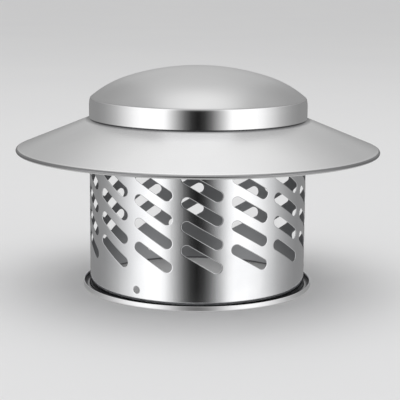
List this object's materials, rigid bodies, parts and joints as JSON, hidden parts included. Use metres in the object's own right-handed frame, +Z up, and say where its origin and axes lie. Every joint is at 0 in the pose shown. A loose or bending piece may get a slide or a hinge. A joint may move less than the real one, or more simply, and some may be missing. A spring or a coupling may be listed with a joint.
{
  "type": "chimney rain cap",
  "caption": "Stainless rain cap for a round flue pipe: a slotted sleeve that slides over the pipe, under a wide conical brim and a pressed dome.",
  "frame": {"origin": "centre line of the sleeve, at the flat base of the foot", "axes": "+Z up along the centre line, front of the picture towards -Y, +X to its right"},
  "size_m": [0.204, 0.204, 0.1243],
  "materials": {
    "sleeve_sheet": "bright polished",
    "brim_sheet": "satin",
    "dome_sheet": "satin, bright on the skirt",
    "bracket_strip": "mill",
    "rivet_steel": "mill"
  },
  "bodies": {
    "root": {"slotted_sleeve": "sleeve_sheet", "brim": "brim_sheet", "dome": "dome_sheet", "hat_bracket_1": "bracket_strip", "hat_bracket_2": "bracket_strip", "hat_bracket_3": "bracket_strip", "hat_bracket_4": "bracket_strip", "bracket_rivets": "rivet_steel", "hat_rivets": "rivet_steel"}
  },
  "joints": []
}
